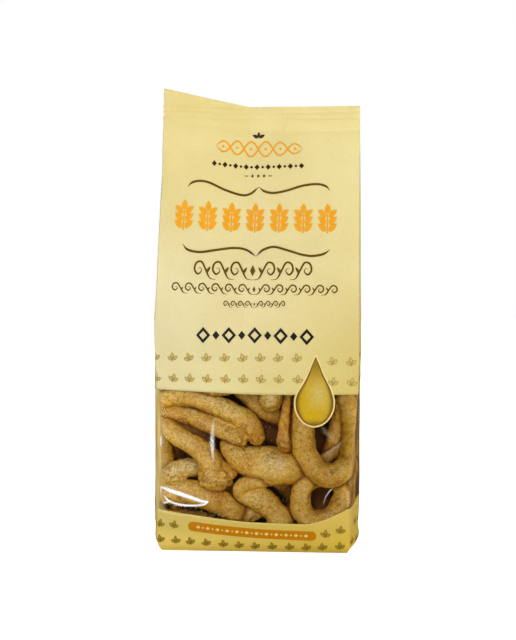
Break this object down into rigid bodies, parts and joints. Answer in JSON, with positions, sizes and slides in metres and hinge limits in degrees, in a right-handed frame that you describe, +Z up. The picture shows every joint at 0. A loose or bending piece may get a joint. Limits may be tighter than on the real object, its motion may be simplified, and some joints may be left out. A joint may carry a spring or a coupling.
{
  "type": "filled bag of ring biscuits",
  "caption": "Standing side-gusset film bag with a clear lower window, a printed upper panel and a flat crimped top seal, filled with baked ring biscuits.",
  "frame": {"origin": "middle of the underside of the folded base, on the surface that the bag stands on", "axes": "+Z up along the bag, -Y out of the front panel with the window, +X to the right seen from the front"},
  "size_m": [0.1144, 0.0778, 0.2512],
  "materials": {
    "printed_film": null,
    "clear_film": "clear glossy polypropylene film with small wrinkles",
    "biscuit": "baked golden-brown dough, dry, finely cracked and pitted"
  },
  "bodies": {
    "root": {"filled_bag": "printed_film"}
  },
  "joints": []
}
